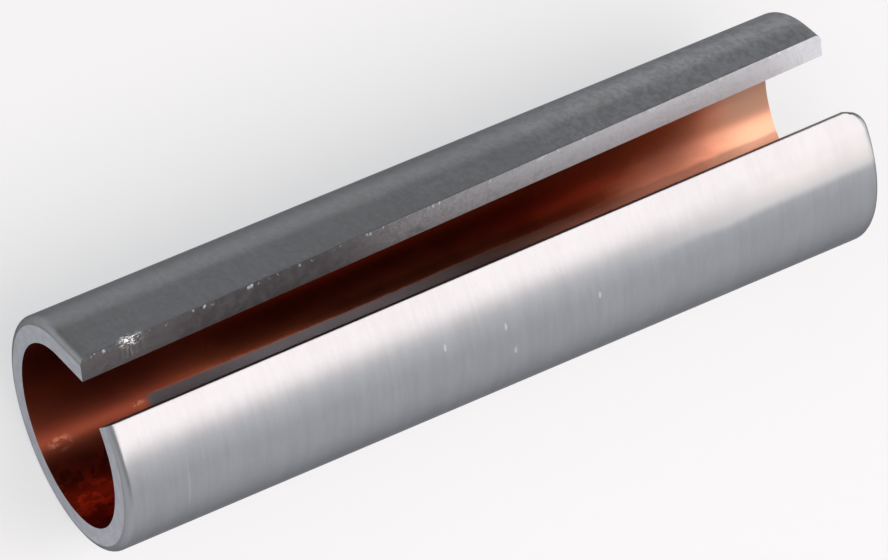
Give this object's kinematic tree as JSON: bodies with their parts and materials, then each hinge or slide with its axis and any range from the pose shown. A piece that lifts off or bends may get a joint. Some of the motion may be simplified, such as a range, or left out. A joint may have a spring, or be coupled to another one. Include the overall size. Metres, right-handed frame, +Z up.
{
  "type": "split bimetal conductor sleeve",
  "caption": "Split C-section sleeve of rolled aluminium strip with a bonded copper lining, for splicing or clamping a round copper conductor in an aluminium connector.",
  "frame": {"origin": "under the middle of the bore, on the surface that the sleeve lies on", "axes": "+X along the bore towards the end where the slit is wider, +Y towards the long lip, +Z up out of the slit"},
  "size_m": [0.036, 0.0102, 0.0105],
  "materials": {
    "aluminium": "satin rolled sheet with fine cross streaks and sheared edges",
    "copper": "bright rolled copper, slightly tarnished"
  },
  "bodies": {
    "root": {"aluminium_sleeve": "aluminium", "copper_lining": "copper"}
  },
  "joints": []
}
